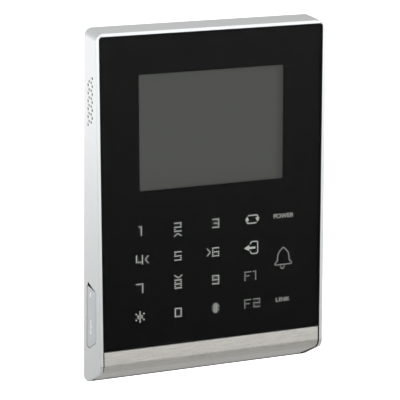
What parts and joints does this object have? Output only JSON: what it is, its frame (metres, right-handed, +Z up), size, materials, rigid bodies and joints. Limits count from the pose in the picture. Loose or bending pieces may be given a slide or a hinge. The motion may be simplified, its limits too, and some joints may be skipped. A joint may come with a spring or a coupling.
{
  "type": "access control terminal",
  "caption": "Slim wedge wall terminal with a black glass front, display, touch keypad, steel chin strip, side USB door and a wall bracket.",
  "frame": {"origin": "centre of the wall bracket's rear face, in the wall plane", "axes": "+X right seen from the front, +Y into the wall (the glass faces -Y, leaning back 2.9 degrees), +Z up"},
  "size_m": [0.097, 0.0206, 0.1448],
  "materials": {
    "silver_housing": "fine silver paint, satin",
    "cover_glass": "polished clear glass",
    "black_ink": "black printing behind the glass",
    "mounting_tape": "black foam tape",
    "brushed_strip": "brushed along its length",
    "sheet_metal": "plain plated sheet",
    "bracket_steel": "zinc-plated sheet",
    "screw_steel": "zinc plated",
    "display": "dark grey display, switched off",
    "white_plastic": "moulded",
    "flex_cable": "amber polyimide",
    "circuit_board": "green solder mask",
    "diffuser": "milky",
    "led": "clear lens",
    "copper": "bare copper",
    "chip": "moulded epoxy",
    "grey_plastic": "ferrite",
    "can_aluminium": "bright can",
    "black_plastic": "fine texture",
    "speaker_cone": "thin film",
    "speaker_cloth": "fine mesh",
    "usb_door": "silver rubberised paint"
  },
  "bodies": {
    "terminal": {"alarm_socket": "white_plastic", "antenna_coil": "copper", "board_screw_1": "screw_steel", "board_screw_2": "screw_steel", "board_screw_3": "screw_steel", "board_screw_4": "screw_steel", "buzzer": "black_plastic", "capacitor_1": "can_aluminium", "capacitor_2": "can_aluminium", "coin_cell": "sheet_metal", "coin_cell_holder": "black_plastic", "cover_glass": "cover_glass", "cover_screw_1": "screw_steel", "cover_screw_2": "screw_steel", "cover_screw_3": "screw_steel", "cover_screw_4": "screw_steel", "display_backlight": "white_plastic", "display_bezel": "sheet_metal", "display_connector": "white_plastic", "display_flex": "flex_cable", "display_panel": "display", "glass_print": "black_ink", "glass_tape": "mounting_tape", "housing": "silver_housing", "inductor": "grey_plastic", "key_light_guide": "diffuser", "link_led": "led", "lock_socket": "white_plastic", "main_board": "circuit_board", "memory_chip": "chip", "network_socket": "white_plastic", "network_transformer": "chip", "power_led": "led", "power_socket": "white_plastic", "processor_shield": "sheet_metal", "reader_socket": "white_plastic", "rear_cover": "black_plastic", "relay": "white_plastic", "reset_switch": "sheet_metal", "security_screw": "screw_steel", "speaker_cloth": "speaker_cloth", "speaker_cone": "speaker_cone", "speaker_frame": "black_plastic", "speaker_magnet": "sheet_metal", "steel_strip": "brushed_strip", "tamper_switch": "black_plastic", "touch_board": "circuit_board", "touch_connector": "white_plastic", "touch_flex": "flex_cable", "usb_socket": "sheet_metal", "usb_tongue": "white_plastic", "wall_bracket": "bracket_steel"},
    "usb_door": {"usb_door": "usb_door"},
    "tamper_plunger": {"tamper_plunger": "white_plastic"},
    "reset_button": {"reset_button": "black_plastic"}
  },
  "joints": [
    {"name": "usb_door_hinge", "type": "hinge", "parent": "terminal", "child": "usb_door", "pos_m": [-0.0485, -0.0099, -0.057], "axis": [0, -1, 0], "range_deg": [0, 110]},
    {"name": "tamper_plunger_slide", "type": "slide", "parent": "terminal", "child": "tamper_plunger", "axis": [0, 1, 0], "range_m": [0, 0.0015], "stiffness_N_per_m": 150, "springref_m": 0.003},
    {"name": "reset_button_slide", "type": "slide", "parent": "terminal", "child": "reset_button", "axis": [0, 1, 0], "range_m": [-0.0005, 0], "stiffness_N_per_m": 400, "springref_m": 0.0003}
  ]
}
